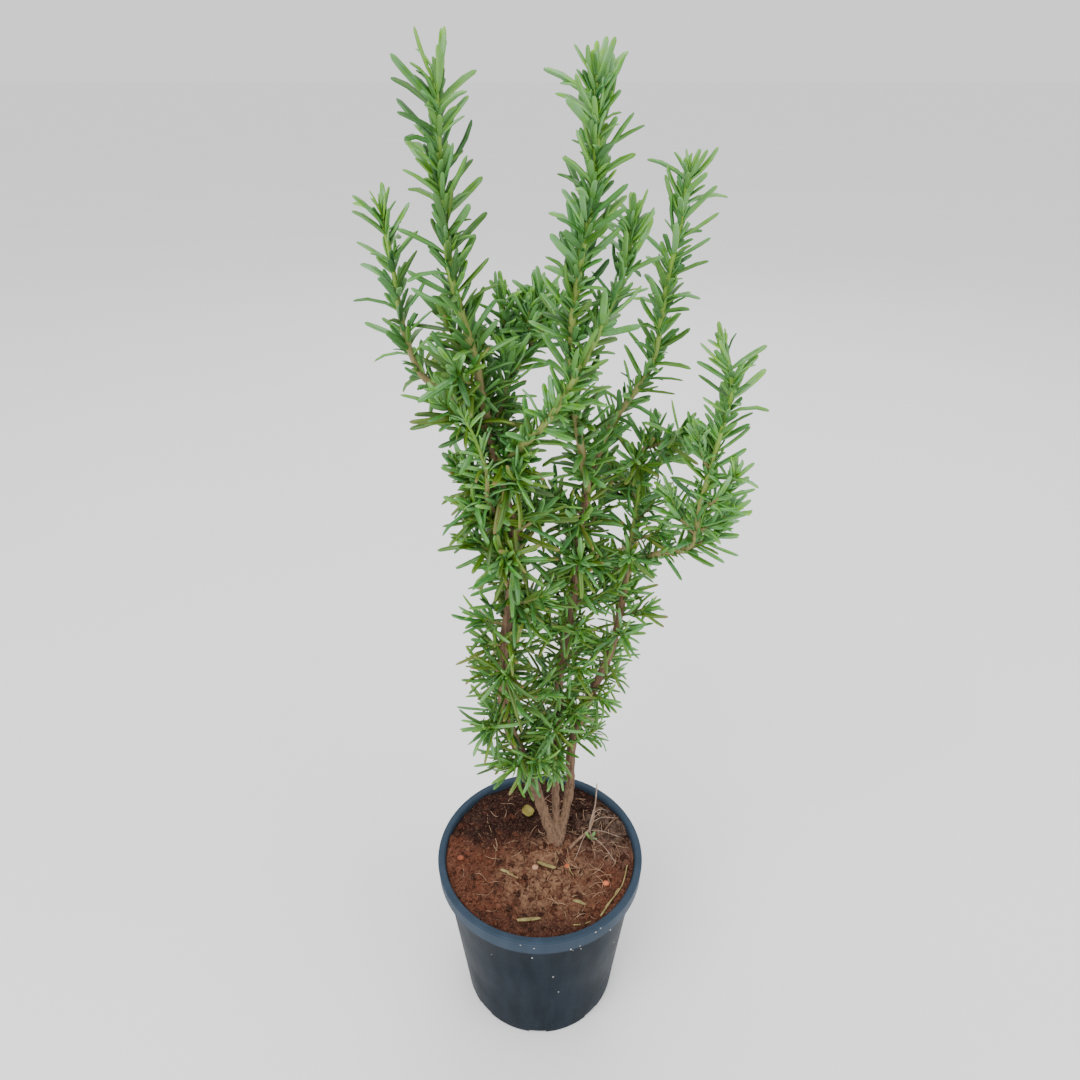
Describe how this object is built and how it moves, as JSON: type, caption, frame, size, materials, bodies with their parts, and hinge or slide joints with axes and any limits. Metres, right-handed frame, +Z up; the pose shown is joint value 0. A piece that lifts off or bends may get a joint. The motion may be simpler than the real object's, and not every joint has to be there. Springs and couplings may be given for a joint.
{
  "type": "potted rosemary plant",
  "caption": "Bushy rosemary plant with woody stems and upright leafy sprays, growing in a round tapered nursery pot filled with soil.",
  "frame": {"origin": "the middle of the pot's underside, which stands on Z = 0", "axes": "+Z up along the pot's axis, +X to the viewer's right and -Y towards the viewer in the pictured view"},
  "size_m": [0.1855, 0.13, 0.5625],
  "materials": {
    "pot": "satin",
    "soil": "matte",
    "bark": "matte",
    "leaf": "satin",
    "young_leaf": "satin",
    "dead_leaf": "matte",
    "yellow_leaf": "matte",
    "clay": "matte"
  },
  "bodies": {
    "root": {"pot": "pot", "soil": "soil", "woody_foot": "bark", "left_stem": "leaf", "centre_stem": "leaf", "right_stem": "leaf", "left_low_spray": "leaf", "front_spray": "leaf", "crossing_spray": "leaf", "middle_twig": "leaf", "right_spray": "leaf", "young_shoot": "young_leaf", "dead_needle_1": "dead_leaf", "dead_needle_2": "dead_leaf", "dead_needle_3": "dead_leaf", "dead_needle_4": "dead_leaf", "clay_grain_1": "clay", "clay_grain_2": "clay", "clay_grain_3": "clay", "fallen_leaf": "yellow_leaf", "dry_twig": "bark"}
  },
  "joints": []
}
